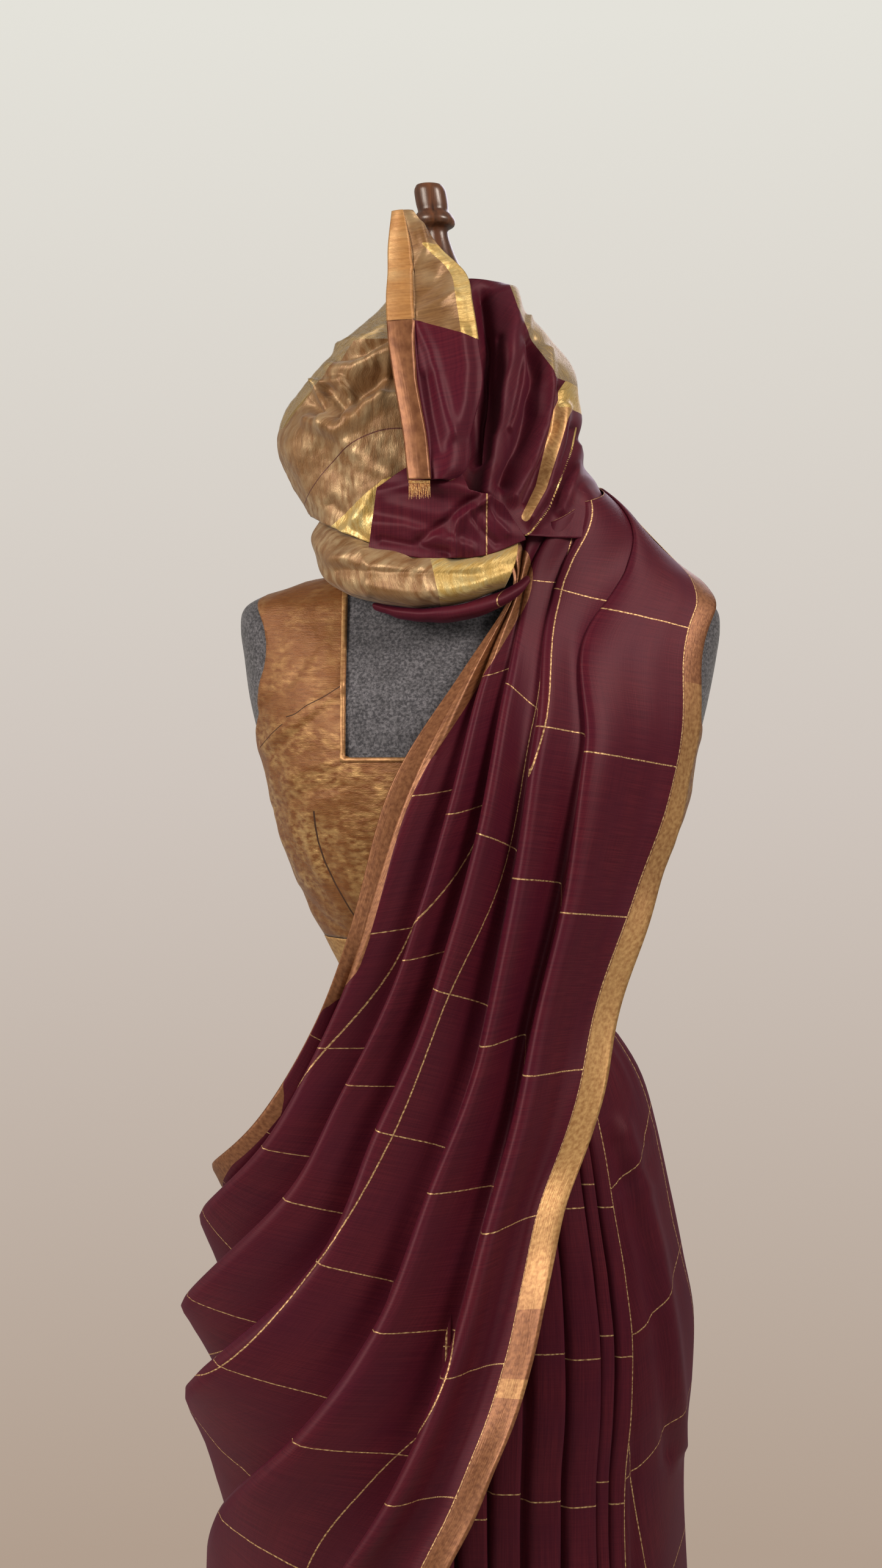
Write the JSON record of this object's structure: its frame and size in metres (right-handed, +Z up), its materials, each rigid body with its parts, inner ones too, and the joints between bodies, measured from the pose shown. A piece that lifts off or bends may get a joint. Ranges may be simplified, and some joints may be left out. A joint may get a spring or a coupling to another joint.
{
  "type": "chanderi saree on a dress form",
  "caption": "Maroon and gold checked silk-cotton saree, pleated over one shoulder and wound round the neck, worn with a gold tissue blouse on a limbless dress form.",
  "frame": {"origin": "centre of the stand's flat underside, on the floor", "axes": "+Z up along the height; -Y is the front; +X is to the right as seen from the front"},
  "size_m": [0.4612, 0.3578, 1.7413],
  "materials": {
    "form_felt": "heather charcoal wool jersey stretched over a padded bust",
    "turned_wood": "turned dark walnut, waxed",
    "stand_iron": "black cast iron foot and steel pole",
    "blouse_tissue": "ochre gold tissue weave, soft metallic glint",
    "maroon_silk": "sheer maroon silk-cotton plain weave with fine gold check lines and a silky sheen",
    "gold_tissue": "gold tissue end panel, metallic weft threads",
    "zari_border": "copper and gold thread border, satin glint"
  },
  "bodies": {
    "root": {"form_torso": "form_felt", "form_neck_cap": "turned_wood", "stand_pole": "stand_iron", "stand_base": "stand_iron", "blouse_front": "blouse_tissue", "blouse_back": "blouse_tissue", "blouse_neck_piping": "blouse_tissue", "blouse_under_band": "zari_border", "saree_skirt": "maroon_silk", "saree_front_pleats": "maroon_silk", "saree_front_drape": "maroon_silk", "saree_back_cowl": "maroon_silk", "neck_right_loops": "maroon_silk", "neck_left_puff": "gold_tissue", "neck_front_roll": "gold_tissue", "neck_under_roll": "maroon_silk", "neck_centre_tuck": "maroon_silk", "neck_fin": "gold_tissue", "neck_fringe": "zari_border"}
  },
  "joints": []
}
